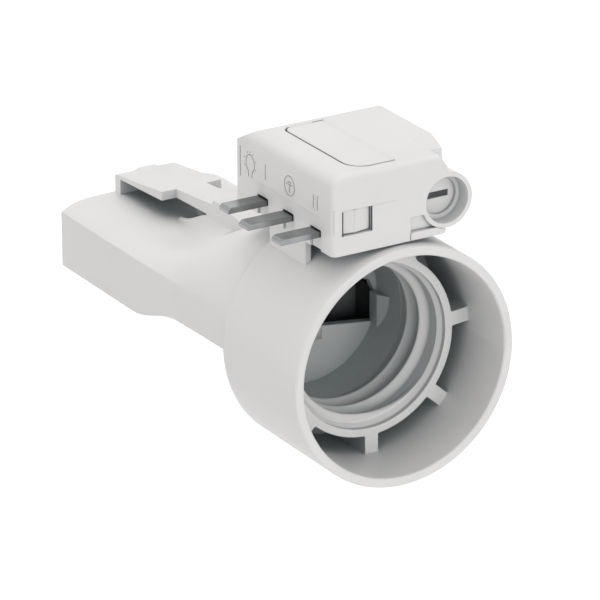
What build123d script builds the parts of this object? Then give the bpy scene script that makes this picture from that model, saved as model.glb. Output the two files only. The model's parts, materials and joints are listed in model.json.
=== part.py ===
"""Lamp holder with a flat-pin plug on its back, a hollow arm and a hanging hook, in millimetres.

The origin is the centre of the shroud's rim. The lamp's axis is X, and +X points out of the mouth.
The plug's pins point along -Y, and +Z is up.
"""
import os
from math import cos, radians, sin

from build123d import *

os.makedirs("parts", exist_ok=True)

# Shroud, socket ring and cup, all round the lamp's axis
shroud_radius = 20.0
shroud_wall = 1.6
shroud_length = 22.2
shroud_back_wall = 1.5
rim_round = 0.4
ring_setback = 10.5
ring_radius = shroud_radius - 4.7
mouth_radius = ring_radius - 1.3
mouth_depth = 1.6
bore_radius = mouth_radius - 0.6
thread_end = 22.3
cup_radius = bore_radius - 0.3
bore_end = 29.6
cup_floor = 1.5
web_width = 2.4
web_angles = (5.3, -41.5, -89.0, -136.0, 174.0)
crown_half_angle = 31.0
gap_end_round = 1.4
web_round = 0.25

# Window in the cup's floor, with the guide block beside it
window_left = -3.5
window_right = cup_radius - 0.2
window_top = 3.0
window_top_right = window_right - 3.4
window_slant_y = window_right - 1.3
window_slant_z = 2.45
window_side_top = -0.4
window_bottom_left = -3.0
window_bottom_right = -5.1
guide_reach = 3.8
guide_height = 1.2
guide_bottom = -6.6
guide_top = 0.3

# Arm: its left side runs level with the shroud's, and its right side flares out to it
arm_left = shroud_radius - 0.1
arm_right = 11.1
arm_length = 75.3
arm_wall = 1.6
arm_roof = 7.1
arm_shoulder = 5.4
arm_slope_width = 3.3
arm_floor_rear = -4.0
arm_floor_front = -1.0
floor_step_rear = -52.1
floor_step_front = -37.3
roof_rise_start = -52.8
roof_crown = shroud_radius - 1.6
front_half_width = shroud_radius - 0.8
rise_sections = 5

# Plug
plug_rear = -30.5
plug_front = -1.6
plug_left = -12.3
plug_top_right = 7.05
plug_right = plug_top_right + 1.35
plug_bottom = shroud_radius + 0.35
plug_top = plug_bottom + 13.05
plug_slope_foot = plug_top - 2.0
plug_wall = 1.2
plug_top_round = 2.0
plug_corner_round = 1.0
hump_right = plug_right + 2.9
hump_front = -7.7
hump_ramp_rear = -10.7
hump_ramp_foot = plug_top - 1.4
base_thickness = 1.1
base_play = 0.05

# Neck that carries the strips from the plug down into the arm
neck_left = -3.0
neck_right = 6.0
neck_front = -23.3
neck_rear = -37.0
neck_slope = 1.5
neck_foot = -39.3
neck_base = 12.0

# Rails under the plug
rail_thickness = 1.0
rail_root = ring_radius
rail_left = -11.9
rail_right = 7.5
rail_front = -10.44
rail_rear = -21.3
rail_lip = 1.3
rail_lip_height = 1.05
foot_height = 2.4
foot_front = -13.8
slide_play = 0.1

# Hanging hook on the arm's roof
hook_root = 0.8
hook_rear_wall = 1.8
hook_left = -9.65
hook_right = 1.6
hook_bar_front = -arm_length + 15.7
hook_stem_left = -6.9
hook_stem_right = -1.2
hook_stem_front = -arm_length + 27.3
hook_top_rear = arm_roof + 2.9
hook_top_bar = hook_top_rear + 1.95
hook_top_front = hook_top_rear + 3.0
hook_under_rear = arm_roof + 2.55
hook_under_bar = hook_under_rear + 0.8
hook_under_front = hook_under_rear + 1.25
hook_web_left = -3.5
hook_web_thickness = 1.6
hook_web_rear = -arm_length + 16.5
hook_foot_peak = hook_top_front + 0.9
hook_foot_lean = 0.5
hook_foot_crest = 0.9
hook_foot_depth = 3.4
hook_foot_end = hook_stem_front + 11.2
hook_foot_end_top = hook_foot_peak - 1.4
hook_foot_wall = 1.8
pad_left = -6.0
pad_right = -1.4
pad_height = 0.4
pad_slope = 0.7
pad_root = 0.5
pad_front = -arm_length + 14.0

# Tube beside the plug and the spindle in it
tube_y = plug_right + 0.05
tube_z = plug_bottom + 5.45
tube_radius = 4.55
tube_bore = 3.82
tube_rear = -24.8
tube_seat = -7.4
shaft_overhang = 1.0
shaft_end_play = 0.2
spindle_play = 0.07
spindle_shaft_radius = 2.2
spindle_face = -4.6
spindle_flat = 1.2
spindle_flat_length = 5.0
slot_length = 4.0
slot_width = 1.05
slot_depth = 1.0
washer_radius = 3.1
washer_thickness = 0.5
washer_gap = 0.12

# Snap window and the pocket and ledge on the plug's front
snap_left = -10.7
snap_right = -5.17
snap_bottom = plug_bottom + 3.15
snap_top = snap_bottom + 4.1
snap_arm = 0.9
snap_hook = 0.9
snap_face = 0.5
snap_rib = -8.1
snap_play = 0.2
ledge_left = 1.8
ledge_right = plug_right + 0.5
ledge_rear = -9.8
ledge_top = plug_bottom + 1.3
ledge_round = 1.5
pocket_top = ledge_top + 2.55
front_pocket_depth = 0.8

# Release tongue in the plug's top
tongue_rear = -25.0
tongue_front = -3.5
tongue_left = -7.6
tongue_root = 0.0
tongue_gap = 0.35
tongue_root_gap = 0.15
tongue_front_round = 3.4
tongue_rear_round = 1.8
tongue_rib = 0.8
tongue_rib_drop = 1.0
tongue_rib_inset = 0.6

# Pins, their clamps and screws
pin_places = {"line": -22.65, "earth": -14.9, "neutral": -6.75}
pin_width = 2.75
pin_thickness = 0.95
pin_underside = plug_bottom + 2.2
pin_tip = plug_left - 7.1
earth_pin_extra = 1.0
pin_bevel = 0.5
pin_inner_end = -3.6
pin_slot_play = 0.2
pin_seat_setback = 0.4
pin_seat_reach = 1.0
clamp_width = 5.4
clamp_outer = -8.8
clamp_inner = -3.4
clamp_top = pin_underside + 4.45
clamp_play = 0.05
clamp_screw_radius = 1.5
clamp_screw_stand = 1.2
clamp_head_radius = 2.1
clamp_head_height = 1.4
screw_slot_width = 0.6
screw_slot_depth = 0.7

# Strips and contacts of spring metal
strip_gauge = 0.5
strip_width = 2.6
line_strip_y = -0.6
neutral_strip_y = 3.6
strip_drop_x = -28.5
strip_shelf_z = plug_bottom - 2.95
strip_end_z = 4.5
strip_bend = 0.6
channel_play = 0.55
channel_side_play = 0.15
carrier_thickness = 3.0
carrier_bottom = 4.0
carrier_top = 11.6
carrier_left = -3.6
carrier_right = 7.4
contact_tail_top = 10.4
centre_contact_width = 3.1
centre_contact_face = -27.2
centre_contact_shelf = -0.9
centre_contact_foot = -4.9
side_contact_height = cup_radius + 0.05
side_contact_tip = -22.7
side_contact_bump = cup_radius - 0.9
side_contact_bend = 4.5
side_contact_lip = 1.6
side_contact_lift = 0.8
contact_seat_depth = 3.0
contact_slot_play = 0.25

# Screws that hold the carrier
carrier_screw_z = 7.4
carrier_screw_radius = 1.25
carrier_screw_bite = 1.2
carrier_head_radius = 1.9
carrier_head_height = 1.4

# Lid under the arm and its screws
lid_thickness = 1.4
lid_play = 0.1
lid_side_play = 0.25
lid_screw_x = -arm_length + 8.5
lid_screw_spread = 17.0
lid_hook = 0.9
pan_rear = -37.2
pan_left = -7.6
pan_right = 14.2
pan_floor = -7.4
pan_wall = 1.2
lid_screw_radius = 1.25
lid_screw_length = 6.0
lid_head_radius = 2.4
lid_head_height = 1.3
lid_cup_radius = 3.6
lid_cup_height = 2.8
lid_boss_radius = 2.8

# How far joined forms reach into each other, and how far cuts run past the faces they open
overlap = 0.3
margin = 1.0

# Places that follow from the sizes above
shroud_back = -shroud_length
cup_back = -bore_end - cup_floor
base_top = plug_bottom + base_thickness
carrier_rear = cup_back - carrier_thickness
tail_x = carrier_rear - strip_gauge / 2
strip_x = tail_x - strip_gauge
foot_floor = plug_bottom - rail_lip_height - slide_play
pocket_floor = foot_floor - foot_height + rail_lip_height
lid_seat = arm_floor_rear + lid_cup_height
lid_screw_seat = lid_seat - plug_wall
contact_half = strip_width / 2 + contact_slot_play
contact_ceiling = side_contact_height + strip_gauge / 2 + contact_slot_play
channel_half = strip_width / 2 + channel_side_play
arm_middle = (arm_right - arm_left) / 2
lid_screw_places = [(lid_screw_x, arm_middle + side * lid_screw_spread / 2) for side in (-1, 1)]
lid_front_half = front_half_width - arm_wall - lid_side_play


def across(x):
    """The plane at x across the lamp's axis, with its own axes along +Y and +Z."""
    return Plane(origin=(x, 0, 0), x_dir=(0, 1, 0), z_dir=(1, 0, 0))


def along(y):
    """The upright plane at y along the lamp's axis, which faces the pins' side."""
    return Plane.XZ.offset(-y)


def block(x_range, y_range, z_range, mode=Mode.ADD):
    """A square block between pairs of faces, in the piece that is being built."""
    middle = [sum(pair) / 2 for pair in (x_range, y_range, z_range)]
    size = [max(pair) - min(pair) for pair in (x_range, y_range, z_range)]
    with Locations(tuple(middle)):
        Box(*size, mode=mode)


def mix(rear, front, share):
    """The value that lies the given share of the way from the rear one to the front one."""
    return rear + (front - rear) * share


def roof_share(x):
    """The share of the roof's rise that is reached at x, eased at both ends."""
    share = (x - roof_rise_start) / (shroud_back - roof_rise_start)
    share = min(max(share, 0.0), 1.0)
    return share * share * (3 - 2 * share)


def arm_reach(x, width):
    """How far a side of the arm stands from the lamp's axis at x, if it starts at that width."""
    return mix(width, front_half_width, roof_share(x))


def roof_side(x, width, inset):
    """Half of the roof's line at x, from the side to the middle, as it grows from flat to arched."""
    share = roof_share(x)
    flat_roof = (
        (width, arm_shoulder),
        (width - 0.7 * arm_slope_width, arm_roof - 0.2),
        (width - arm_slope_width, arm_roof),
        (0.7 * (width - arm_slope_width), arm_roof),
        (0.35 * (width - arm_slope_width), arm_roof),
        (0, arm_roof),
    )
    arched_roof = (
        (front_half_width, arm_shoulder),
        (0.93 * front_half_width, 0.56 * roof_crown),
        (0.75 * front_half_width, 0.79 * roof_crown),
        (0.52 * front_half_width, 0.95 * roof_crown),
        (0.25 * front_half_width, roof_crown),
        (0, roof_crown),
    )
    narrowing = 1 - inset / arm_reach(x, width)
    return [
        (mix(rear[0], front[0], share) * narrowing, mix(rear[1], front[1], share) - inset)
        for rear, front in zip(flat_roof, arched_roof)
    ]


def arm_section(x, inset=0.0):
    """Section of the arm at x: two upright sides under a roof that grows from flat to arched."""
    right = roof_side(x, arm_right, inset)
    left = [(-y, z) for y, z in reversed(roof_side(x, arm_left, inset))]
    foot = arm_floor_rear - inset
    with BuildSketch(across(x)) as section:
        with BuildLine():
            Bezier(*right)
            Bezier(*left)
            Polyline(left[-1], (left[-1][0], foot), (right[0][0], foot), right[0])
        make_face()
    return section.sketch


def arm_form(rear, front, inset=0.0, mode=Mode.ADD):
    """The arm's outer form, or the space in it where inset is its wall."""
    extrude(arm_section(rear, inset), amount=roof_rise_start - rear, mode=mode)
    shares = [step / (rise_sections - 1) for step in range(rise_sections)]
    loft([arm_section(mix(roof_rise_start, shroud_back, share), inset) for share in shares], mode=mode)
    if front > shroud_back:
        extrude(arm_section(shroud_back, inset), amount=front - shroud_back, mode=mode)


def floor_curve(rise=0.0):
    """The arm's lower edge, with its soft step, as a line from the rear to the front."""
    rear = (-arm_length - margin, arm_floor_rear + rise)
    step_rear = (floor_step_rear, arm_floor_rear + rise)
    step_front = (floor_step_front, arm_floor_front + rise)
    Line(rear, step_rear)
    Spline(step_rear, step_front, tangents=((1, 0), (1, 0)))
    Line(step_front, (shroud_back, arm_floor_front + rise))


def bent_strip(points, y_middle, width):
    """A strip of even gauge bent along points that are given as x and z."""
    with BuildSketch(along(y_middle + width / 2)) as edge:
        with BuildLine():
            FilletPolyline(*points, radius=strip_bend)
        trace(line_width=strip_gauge)
    extrude(edge.sketch, amount=width)


def strip_route(start):
    """Where a strip's middle runs: back over the base, down the neck and on to the carrier."""
    run_z = pin_underside - strip_gauge / 2
    return (
        (start, run_z),
        (strip_drop_x, run_z),
        (strip_drop_x, strip_shelf_z),
        (strip_x, strip_shelf_z),
        (strip_x, strip_end_z),
    )


def slotted_screw(place, radius, length, head_radius, head_height):
    """A slotted screw whose head sits on place and whose shank runs back from it."""
    with Locations(place):
        Cylinder(head_radius, head_height, align=(Align.CENTER, Align.CENTER, Align.MIN))
        Cylinder(radius, length, align=(Align.CENTER, Align.CENTER, Align.MAX))
        with Locations((0, 0, head_height - screw_slot_depth / 2)):
            Box(3 * head_radius, screw_slot_width, screw_slot_depth, mode=Mode.SUBTRACT)


def tongue_outline(inset, root):
    """Outline of the release tongue, or of its opening where inset is nought."""
    with BuildSketch(Plane.XY.offset(plug_top)) as outline:
        with BuildLine():
            Polyline(
                (tongue_rear + inset, root),
                (tongue_rear + inset, tongue_left + inset),
                (tongue_front - inset, tongue_left + inset),
                (tongue_front - inset, root),
                close=True,
            )
        make_face()
        corners = outline.vertices().group_by(Axis.Y)[0].sort_by(Axis.X)
        fillet(corners[0], tongue_rear_round - inset)
        corners = outline.vertices().sort_by(Axis.X)[-2:].sort_by(Axis.Y)
        fillet(corners[0], tongue_front_round - inset)
    return outline.sketch


# Housing: shroud, socket, arm, neck, rails and hook in one moulding
with BuildPart() as housing:
    arm_form(-arm_length, shroud_back + shroud_back_wall / 2)

    # Neck: a hump on the roof, under the plug's rear end
    with BuildSketch(along(neck_right)):
        Polygon(
            (neck_front, neck_base),
            (neck_front, plug_bottom),
            (neck_rear + neck_slope, plug_bottom),
            (neck_rear, strip_shelf_z),
            (neck_foot, neck_base),
            align=None,
        )
    extrude(amount=neck_right - neck_left)

    # Hook: a T-shaped plate on a rear wall, a web and a front foot
    hook_base = arm_roof - hook_root
    with BuildSketch(along(hook_right)):
        Polygon(
            (-arm_length, hook_base),
            (-arm_length, hook_top_rear),
            (hook_bar_front, hook_top_bar),
            (hook_stem_front, hook_top_front),
            (hook_stem_front, hook_under_front),
            (hook_bar_front, hook_under_bar),
            (-arm_length + hook_rear_wall, hook_under_rear),
            (-arm_length + hook_rear_wall, hook_base),
            align=None,
        )
    extrude(amount=hook_right - hook_left)
    for beside_stem in ((hook_left - margin, hook_stem_left), (hook_stem_right, hook_right + margin)):
        block(
            (hook_bar_front, hook_stem_front + margin),
            beside_stem,
            (hook_under_rear, hook_foot_peak),
            Mode.SUBTRACT,
        )
    with BuildSketch(along(hook_stem_right)):
        Polygon(
            (hook_stem_front - hook_foot_wall, hook_base),
            (hook_stem_front - hook_foot_wall, hook_under_front + overlap),
            (hook_stem_front, hook_top_front),
            (hook_stem_front + hook_foot_lean, hook_foot_peak),
            (hook_stem_front + hook_foot_lean + hook_foot_crest, hook_foot_peak),
            (hook_foot_end, hook_foot_end_top),
            (hook_foot_end, hook_foot_end_top - hook_foot_depth),
            align=None,
        )
    extrude(amount=hook_stem_right - hook_stem_left)
    with BuildSketch(along(hook_web_left + hook_web_thickness)):
        Polygon(
            (hook_web_rear, hook_base),
            (hook_web_rear, hook_under_bar + overlap),
            (hook_stem_front, hook_under_front + overlap),
            (hook_stem_front, hook_base),
            align=None,
        )
    extrude(amount=hook_web_thickness)

    # Raised pad on the bar, with sloped shoulders, that fades out towards the stem
    for pad_x, pad_base, pad_rise in (
        (-arm_length, hook_top_rear, pad_height),
        (pad_front, hook_top_bar - overlap, 0.02),
    ):
        with BuildSketch(across(pad_x)):
            Polygon(
                (pad_left, pad_base - pad_root),
                (pad_left, pad_base),
                (pad_left + pad_slope, pad_base + pad_rise),
                (pad_right - pad_slope, pad_base + pad_rise),
                (pad_right, pad_base),
                (pad_right, pad_base - pad_root),
                align=None,
            )
    loft()

    # The space in the arm, open below its soft stepped edge
    arm_form(-arm_length + arm_wall, shroud_back, arm_wall, Mode.SUBTRACT)
    with BuildSketch(along(0)):
        with BuildLine():
            floor_curve()
            Polyline(
                (shroud_back, arm_floor_front),
                (0, arm_floor_front),
                (0, arm_floor_rear - arm_roof),
                (-arm_length - margin, arm_floor_rear - arm_roof),
                (-arm_length - margin, arm_floor_rear),
            )
        make_face()
    extrude(amount=2 * arm_left, both=True, mode=Mode.SUBTRACT)

    # Shroud, ring and cup
    with BuildSketch(Plane.XZ) as socket_profile:
        Polygon(
            (0, shroud_radius - shroud_wall),
            (0, shroud_radius),
            (shroud_back, shroud_radius),
            (shroud_back, ring_radius),
            (cup_back, ring_radius),
            (cup_back, 0),
            (-ring_setback, 0),
            (-ring_setback, shroud_radius - shroud_wall),
            align=None,
        )
        rim = socket_profile.vertices().group_by(Axis.X)[-1]
        fillet(rim, rim_round)
    revolve(axis=Axis.X)

    # Bore: a flared mouth, the thread's zone and a smooth zone behind a small step
    with BuildSketch(Plane.XZ):
        Polygon(
            (margin - ring_setback, 0),
            (margin - ring_setback, mouth_radius),
            (-ring_setback - mouth_depth / 2, mouth_radius),
            (-ring_setback - mouth_depth, bore_radius),
            (-thread_end, bore_radius),
            (-thread_end, cup_radius),
            (-bore_end, cup_radius),
            (-bore_end, 0),
            align=None,
        )
    revolve(axis=Axis.X, mode=Mode.SUBTRACT)

    # Gaps between ring and shroud, which stop at the webs and at the solid crown
    with BuildSketch(across(-ring_setback)) as gaps:
        Circle(shroud_radius - shroud_wall)
        Circle(ring_radius, mode=Mode.SUBTRACT)
        for angle in web_angles:
            middle = (ring_radius + shroud_radius) / 2
            with Locations(Location((middle * cos(radians(angle)), middle * sin(radians(angle)), 0), angle)):
                Rectangle(shroud_radius - ring_radius + 2 * margin, web_width, mode=Mode.SUBTRACT)
        reach = 2 * shroud_radius
        side = (reach * sin(radians(crown_half_angle)), reach * cos(radians(crown_half_angle)))
        Polygon((0, 0), side, (-side[0], side[1]), align=None, mode=Mode.SUBTRACT)
        crown_edge = ring_radius * cos(radians(crown_half_angle)) - overlap
        fillet([corner for corner in gaps.vertices() if corner.Y < crown_edge], web_round)
        fillet([corner for corner in gaps.vertices() if corner.Y > crown_edge], gap_end_round)
    extrude(amount=-(shroud_length - shroud_back_wall - ring_setback), mode=Mode.SUBTRACT)

    # Window through the cup's floor
    with BuildSketch(across(cup_back - margin)):
        Polygon(
            (window_left, window_top),
            (window_left, window_bottom_left),
            (window_right, window_bottom_right),
            (window_right, window_side_top),
            (window_slant_y, window_slant_z),
            (window_top_right, window_top),
            align=None,
        )
    extrude(amount=cup_floor + 2 * margin, mode=Mode.SUBTRACT)

    # Guide block on the bore's wall beside the window
    with BuildSketch(Plane.XY.offset(guide_bottom)):
        Polygon(
            (-bore_end - overlap, cup_radius + overlap),
            (-bore_end - overlap, cup_radius - guide_height),
            (-bore_end + guide_reach / 2, cup_radius - guide_height),
            (-bore_end + guide_reach, cup_radius),
            (-bore_end + guide_reach, cup_radius + overlap),
            align=None,
        )
    extrude(amount=guide_top - guide_bottom)

    # Seat and slot for the side contact in the top of the bore
    contact_room = (neutral_strip_y - contact_half, neutral_strip_y + contact_half)
    seat_bottom = cup_radius - contact_seat_depth
    block((-bore_end, -thread_end), contact_room, (seat_bottom, contact_ceiling), Mode.SUBTRACT)
    slot_bottom = side_contact_height - strip_gauge / 2 - contact_slot_play
    block((cup_back - margin, -bore_end), contact_room, (slot_bottom, contact_ceiling), Mode.SUBTRACT)

    # Channels for the two strips in the neck
    for strip_y in (line_strip_y, neutral_strip_y):
        channel = (strip_y - channel_half, strip_y + channel_half)
        drop = (strip_drop_x - channel_play, strip_drop_x + channel_play)
        shelf = (strip_shelf_z - channel_play, strip_shelf_z + channel_play)
        fall = (strip_x - channel_play, strip_x + channel_play)
        block(drop, channel, (shelf[0], plug_bottom + margin), Mode.SUBTRACT)
        block((fall[0], drop[1]), channel, shelf, Mode.SUBTRACT)
        block(fall, channel, (carrier_bottom, shelf[1]), Mode.SUBTRACT)
    block((fall[0], cup_back), contact_room, (carrier_top, contact_ceiling), Mode.SUBTRACT)

    # Rails: an upright wall with a lip on each side of the slot for the plug's foot
    rail_x = (rail_rear, rail_front)
    left_wall = rail_left + rail_thickness
    right_wall = rail_right - rail_thickness
    block(rail_x, (rail_left, left_wall), (rail_root, plug_bottom))
    block(rail_x, (right_wall, rail_right), (rail_root, plug_bottom))
    block(rail_x, (left_wall, right_wall), (pocket_floor, plug_bottom), Mode.SUBTRACT)
    lip = (plug_bottom - rail_lip_height, plug_bottom)
    block(rail_x, (rail_left, left_wall + rail_lip), lip)
    block(rail_x, (right_wall - rail_lip, rail_right), lip)

    # Bosses for the lid's screws, and holes for the carrier's screws
    for x, y in lid_screw_places:
        with Locations((x, y, lid_seat)):
            Cylinder(
                lid_boss_radius,
                arm_roof - arm_wall / 2 - lid_seat,
                align=(Align.CENTER, Align.CENTER, Align.MIN),
            )
            Cylinder(
                lid_screw_radius,
                lid_screw_length,
                align=(Align.CENTER, Align.CENTER, Align.MIN),
                mode=Mode.SUBTRACT,
            )
    for strip_y in (line_strip_y, neutral_strip_y):
        with Locations(Location((cup_back, strip_y, carrier_screw_z), (0, 90, 0))):
            Cylinder(
                carrier_screw_radius,
                carrier_screw_bite,
                align=(Align.CENTER, Align.CENTER, Align.MIN),
                mode=Mode.SUBTRACT,
            )

    # Pockets in the shroud's back for the lid's two hooks
    for side in (-1, 1):
        block(
            (shroud_back, shroud_back + lid_hook + lid_play),
            (side * (ring_radius + lid_play), side * (lid_front_half + lid_play)),
            (arm_floor_front - lid_play, arm_floor_front + lid_thickness + lid_play),
            Mode.SUBTRACT,
        )
housing.part.label = "housing"
export_step(housing.part, "parts/housing.step")

# Plug cover: the shell over the pins' clamps, with the hump, the tube and the tongue's opening
with BuildPart() as plug_cover:
    with BuildSketch(across(plug_rear)) as cover_profile:
        Polygon(
            (plug_left, plug_bottom),
            (plug_left, plug_top),
            (plug_top_right, plug_top),
            (plug_right, plug_slope_foot),
            (plug_right, plug_bottom),
            align=None,
        )
        fillet(cover_profile.vertices().group_by(Axis.X)[0].sort_by(Axis.Y)[-1], plug_top_round)
    extrude(amount=plug_front - plug_rear)
    front_edges = plug_cover.faces().sort_by(Axis.X)[-1].edges()
    fillet(front_edges.sort_by(Axis.Y)[:2] + front_edges.sort_by(Axis.Z)[-1:], plug_corner_round)
    with BuildSketch(along(hump_right)):
        Polygon(
            (plug_rear, plug_bottom),
            (plug_rear, plug_top),
            (hump_ramp_rear, plug_top),
            (hump_front, hump_ramp_foot),
            (hump_front, plug_bottom),
            align=None,
        )
    extrude(amount=hump_right - plug_top_right)
    inner_x = (plug_rear + plug_wall, plug_front - plug_wall)
    inner_right = plug_top_right - plug_wall
    block(
        inner_x,
        (plug_left + plug_wall, inner_right),
        (plug_bottom, plug_top - plug_wall),
        Mode.SUBTRACT,
    )

    # Room for the ledge, and the shallow pocket above it
    block(
        (ledge_rear - base_play, plug_front),
        (ledge_left, ledge_right + base_play),
        (plug_bottom, ledge_top + base_play),
        Mode.SUBTRACT,
    )
    block(
        (plug_front - front_pocket_depth, plug_front),
        (ledge_left, plug_right),
        (ledge_top, pocket_top),
        Mode.SUBTRACT,
    )

    # Tube for the lock's spindle
    with BuildSketch(across(tube_rear)):
        with Locations((tube_y, tube_z)):
            Circle(tube_radius)
    extrude(amount=plug_front - tube_rear)
    with BuildSketch(across(plug_front)):
        with Locations((tube_y, tube_z)):
            Circle(tube_bore)
    extrude(amount=tube_seat - plug_front, mode=Mode.SUBTRACT)
    with BuildSketch(across(tube_seat)):
        with Locations((tube_y, tube_z)):
            Circle(spindle_shaft_radius + spindle_play)
    extrude(amount=tube_rear - tube_seat - shaft_overhang - shaft_end_play, mode=Mode.SUBTRACT)

    # Snap windows in the front and rear walls, and the pins' slots, open downwards
    block(
        (plug_rear, plug_front),
        (snap_left, snap_right),
        (snap_bottom, snap_top),
        Mode.SUBTRACT,
    )
    for pin_x in pin_places.values():
        half_slot = pin_width / 2 + pin_slot_play
        block(
            (pin_x - half_slot, pin_x + half_slot),
            (plug_left, plug_left + plug_wall),
            (plug_bottom, pin_underside + pin_thickness + pin_slot_play),
            Mode.SUBTRACT,
        )
    extrude(tongue_outline(0, tongue_root + tongue_root_gap), amount=-plug_wall, mode=Mode.SUBTRACT)
plug_cover.part.label = "plug_cover"
export_step(plug_cover.part, "parts/plug_cover.step")

# Plug base: floor, pin seats, snap arms, ledge and the T-shaped foot that slides under the lips
with BuildPart() as plug_base:
    base_x = (inner_x[0] + base_play, inner_x[1] - base_play)
    block(base_x, (plug_left + plug_wall + base_play, inner_right - base_play), (plug_bottom, base_top))
    seat_half = pin_width / 2 + pin_slot_play - base_play
    for pin_x in pin_places.values():
        block(
            (pin_x - seat_half, pin_x + seat_half),
            (plug_left + pin_seat_setback, plug_left + plug_wall + pin_seat_reach),
            (plug_bottom, pin_underside),
        )

    # Ledge at the front, hollowed under the tube
    with BuildSketch(Plane.XY.offset(plug_bottom)) as ledge:
        Polygon(
            (ledge_rear, ledge_left + base_play),
            (plug_front, ledge_left + base_play),
            (plug_front, ledge_right),
            (ledge_rear, ledge_right),
            align=None,
        )
        fillet(ledge.vertices().group_by(Axis.Y)[-1].sort_by(Axis.X)[-1], ledge_round)
    extrude(amount=ledge_top - plug_bottom)
    with BuildSketch(across(plug_front)):
        with Locations((tube_y, tube_z)):
            Circle(tube_radius + base_play)
    extrude(amount=ledge_rear - plug_front - margin, mode=Mode.SUBTRACT)

    # Snap arms whose hooks catch in the cover's windows
    for wall, out in ((base_x[1], 1), (base_x[0], -1)):
        arm_y = (snap_left + snap_play, snap_right - snap_play)
        block((wall - out * snap_arm, wall), arm_y, (plug_bottom, snap_top - snap_play))
        with BuildSketch(Plane.XY.offset(snap_bottom + snap_play)):
            Polygon(
                (wall, arm_y[0]),
                (wall + out * snap_face, arm_y[0]),
                (wall + out * snap_hook, snap_rib),
                (wall + out * snap_face, arm_y[1]),
                (wall, arm_y[1]),
                align=None,
            )
        extrude(amount=snap_top - snap_bottom - 2 * snap_play)

    # Foot between the rails, with its flange under their lips
    neck_y = (left_wall + rail_lip + slide_play, right_wall - rail_lip - slide_play)
    flange_y = (left_wall + slide_play, right_wall - slide_play)
    foot_x = (rail_rear + slide_play, foot_front)
    block(foot_x, neck_y, (foot_floor, plug_bottom))
    block(foot_x, flange_y, (pocket_floor + slide_play, foot_floor))

    # Slots in the floor for the strips
    for strip_y in (line_strip_y, neutral_strip_y):
        block(
            (strip_drop_x - channel_play, strip_drop_x + channel_play),
            (strip_y - channel_half, strip_y + channel_half),
            (plug_bottom - margin, base_top),
            Mode.SUBTRACT,
        )
plug_base.part.label = "plug_base"
export_step(plug_base.part, "parts/plug_base.step")

# Release tongue: a springy plate in the cover's top, with a stiffening rib along its free edge
with BuildPart() as release_tongue:
    plate = tongue_outline(tongue_gap, tongue_root - tongue_root_gap)
    extrude(plate, amount=-plug_wall)
    tongue_edge = tongue_left + tongue_gap + tongue_rib_inset
    block(
        (tongue_rear + tongue_front_round, tongue_front - tongue_front_round),
        (tongue_edge, tongue_edge + tongue_rib),
        (plug_top - plug_wall - tongue_rib_drop, plug_top - plug_wall),
    )
release_tongue.part.label = "release_tongue"
export_step(release_tongue.part, "parts/release_tongue.step")

# Spindle of the lock: a slotted head in the tube and a shaft with a flat
with BuildPart() as lock_spindle:
    with BuildSketch(across(tube_seat + spindle_play)):
        with Locations((tube_y, tube_z)):
            Circle(tube_bore - spindle_play)
    extrude(amount=spindle_face - tube_seat - spindle_play)
    with BuildSketch(across(tube_seat + spindle_play)):
        with Locations((tube_y, tube_z)):
            Circle(spindle_shaft_radius)
    extrude(amount=tube_rear - tube_seat - shaft_overhang)
    shaft_end = tube_rear - shaft_overhang
    block(
        (shaft_end, shaft_end + spindle_flat_length),
        (tube_y - spindle_shaft_radius, tube_y + spindle_shaft_radius),
        (tube_z + spindle_flat, tube_z + spindle_shaft_radius),
        Mode.SUBTRACT,
    )
    with BuildSketch(across(spindle_face)):
        with Locations((tube_y, tube_z)):
            Rectangle(slot_length, slot_width)
    extrude(amount=-slot_depth, mode=Mode.SUBTRACT)
lock_spindle.part.label = "lock_spindle"
export_step(lock_spindle.part, "parts/lock_spindle.step")

# Ring that keeps the spindle in its tube
with BuildPart() as lock_ring:
    with BuildSketch(across(spindle_face + washer_gap)):
        with Locations((tube_y, tube_z)):
            Circle(tube_bore)
            Circle(washer_radius, mode=Mode.SUBTRACT)
    extrude(amount=washer_thickness)
lock_ring.part.label = "lock_ring"
export_step(lock_ring.part, "parts/lock_ring.step")


def flat_pin(pin_x, tip):
    """A flat pin with a small bevel on the upper edge of its tip."""
    upper = pin_underside + pin_thickness
    with BuildSketch(Plane.YZ.offset(pin_x - pin_width / 2)) as side:
        Polygon(
            (pin_inner_end, pin_underside),
            (pin_inner_end, upper),
            (tip + pin_bevel, upper),
            (tip, upper - pin_bevel),
            (tip, pin_underside),
            align=None,
        )
    extrude(side.sketch, amount=pin_width)


def clamp(pin_x, under):
    """A clamp whose hole takes the pin and, where under is its gauge, a strip below the pin."""
    half = clamp_width / 2
    block((pin_x - half, pin_x + half), (clamp_outer, clamp_inner), (base_top, clamp_top))
    hole_half = pin_width / 2 + clamp_play
    block(
        (pin_x - hole_half, pin_x + hole_half),
        (clamp_outer, clamp_inner),
        (pin_underside - under, pin_underside + pin_thickness),
        Mode.SUBTRACT,
    )
    with Locations((pin_x, (clamp_outer + clamp_inner) / 2, clamp_top)):
        Cylinder(
            clamp_screw_radius,
            clamp_top - pin_underside - pin_thickness,
            align=(Align.CENTER, Align.CENTER, Align.MAX),
            mode=Mode.SUBTRACT,
        )


# Pins
with BuildPart() as line_pin:
    flat_pin(pin_places["line"], pin_tip)
line_pin.part.label = "line_pin"
export_step(line_pin.part, "parts/line_pin.step")

with BuildPart() as earth_pin:
    flat_pin(pin_places["earth"], pin_tip - earth_pin_extra)
earth_pin.part.label = "earth_pin"
export_step(earth_pin.part, "parts/earth_pin.step")

with BuildPart() as neutral_pin:
    flat_pin(pin_places["neutral"], pin_tip)
neutral_pin.part.label = "neutral_pin"
export_step(neutral_pin.part, "parts/neutral_pin.step")

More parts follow.
